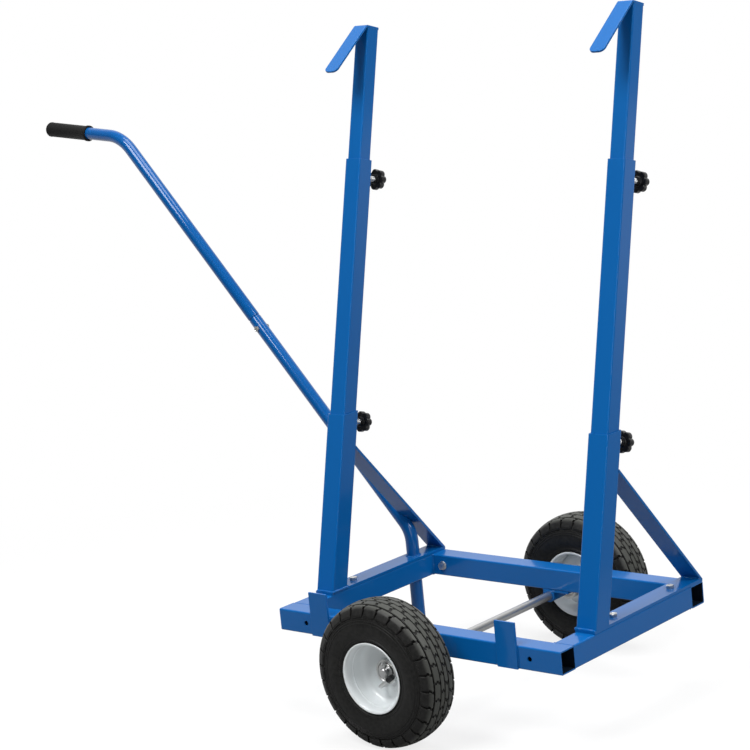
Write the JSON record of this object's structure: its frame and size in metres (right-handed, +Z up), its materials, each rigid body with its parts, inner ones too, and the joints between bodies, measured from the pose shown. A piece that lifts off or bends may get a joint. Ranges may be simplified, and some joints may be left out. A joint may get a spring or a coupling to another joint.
{
  "type": "panel trolley",
  "caption": "Two-wheeled trolley for panels and boards, with a square-tube base, leaning telescopic posts with hooks and a bent pull handle that also forms the rest leg.",
  "frame": {"origin": "on the floor under the middle of the outline", "axes": "+X along the rolling direction away from the handle, +Y from the load side to the back, +Z up"},
  "size_m": [1.495, 0.668, 1.1956],
  "materials": {
    "blue_paint": "gloss",
    "white_paint": "satin",
    "zinc": "zinc plated",
    "bearing_steel": "ground",
    "tyre_rubber": "matte",
    "grip_rubber": "matte",
    "black_plastic": "satin"
  },
  "bodies": {
    "root": {"near_rail": "blue_paint", "far_rail": "blue_paint", "left_cross_rail": "blue_paint", "right_cross_rail": "blue_paint", "left_stop": "blue_paint", "right_stop": "blue_paint", "left_base_plate": "blue_paint", "right_base_plate": "blue_paint", "left_lower_post": "blue_paint", "right_lower_post": "blue_paint", "left_brace": "blue_paint", "right_brace": "blue_paint", "handle_lower": "blue_paint", "handle_upper": "blue_paint", "near_axle_bracket": "blue_paint", "far_axle_bracket": "blue_paint", "lower_weld_nuts": "blue_paint", "plate_bolts": "zinc", "far_rail_bolts": "zinc", "far_rail_nuts": "zinc", "handle_bolt": "zinc", "handle_nut": "zinc", "bracket_bolts": "zinc", "axle": "zinc", "axle_spacers": "zinc", "axle_washers": "zinc", "split_pins": "zinc", "handle_grip": "grip_rubber"},
    "near_wheel": {"near_tyre": "tyre_rubber", "near_rim": "white_paint", "near_hub": "zinc", "near_bearings": "bearing_steel", "near_valve_stem": "zinc", "near_valve_cap": "black_plastic"},
    "far_wheel": {"far_tyre": "tyre_rubber", "far_rim": "white_paint", "far_hub": "zinc", "far_bearings": "bearing_steel", "far_valve_stem": "zinc", "far_valve_cap": "black_plastic"},
    "left_middle": {"left_middle_post": "blue_paint", "left_weld_nut": "blue_paint"},
    "left_top": {"left_top_post": "blue_paint", "left_hook": "blue_paint"},
    "left_lower_knob": {"left_lower_knob": "black_plastic", "left_lower_stud": "zinc"},
    "left_upper_knob": {"left_upper_knob": "black_plastic", "left_upper_stud": "zinc"},
    "right_middle": {"right_middle_post": "blue_paint", "right_weld_nut": "blue_paint"},
    "right_top": {"right_top_post": "blue_paint", "right_hook": "blue_paint"},
    "right_lower_knob": {"right_lower_knob": "black_plastic", "right_lower_stud": "zinc"},
    "right_upper_knob": {"right_upper_knob": "black_plastic", "right_upper_stud": "zinc"}
  },
  "joints": [
    {"name": "near_wheel_spin", "type": "hinge", "parent": "root", "child": "near_wheel", "pos_m": [0.43702, -0.292, 0.128], "axis": [0, 1, 0], "continuous": true},
    {"name": "far_wheel_spin", "type": "hinge", "parent": "root", "child": "far_wheel", "pos_m": [0.43702, 0.292, 0.128], "axis": [0, 1, 0], "continuous": true},
    {"name": "left_middle_slide", "type": "slide", "parent": "root", "child": "left_middle", "axis": [0, 0.2419, 0.9703], "range_m": [-0.17, 0.075]},
    {"name": "left_top_slide", "type": "slide", "parent": "left_middle", "child": "left_top", "axis": [0, 0.2419, 0.9703], "range_m": [-0.22, 0.1]},
    {"name": "left_lower_knob_turn", "type": "hinge", "parent": "root", "child": "left_lower_knob", "pos_m": [0.14702, 0.02508, 0.47259], "axis": [0, 0.9703, -0.2419], "range_deg": [0, 540]},
    {"name": "left_upper_knob_turn", "type": "hinge", "parent": "left_middle", "child": "left_upper_knob", "pos_m": [0.14702, 0.13128, 0.90886], "axis": [0, 0.9703, -0.2419], "range_deg": [0, 540]},
    {"name": "right_middle_slide", "type": "slide", "parent": "root", "child": "right_middle", "axis": [0, 0.2419, 0.9703], "range_m": [-0.16, 0.085]},
    {"name": "right_top_slide", "type": "slide", "parent": "right_middle", "child": "right_top", "axis": [0, 0.2419, 0.9703], "range_m": [-0.24, 0.08]},
    {"name": "right_lower_knob_turn", "type": "hinge", "parent": "root", "child": "right_lower_knob", "pos_m": [0.72702, 0.02508, 0.47259], "axis": [0, 0.9703, -0.2419], "range_deg": [0, 540]},
    {"name": "right_upper_knob_turn", "type": "hinge", "parent": "right_middle", "child": "right_upper_knob", "pos_m": [0.72702, 0.12838, 0.89721], "axis": [0, 0.9703, -0.2419], "range_deg": [0, 540]}
  ]
}
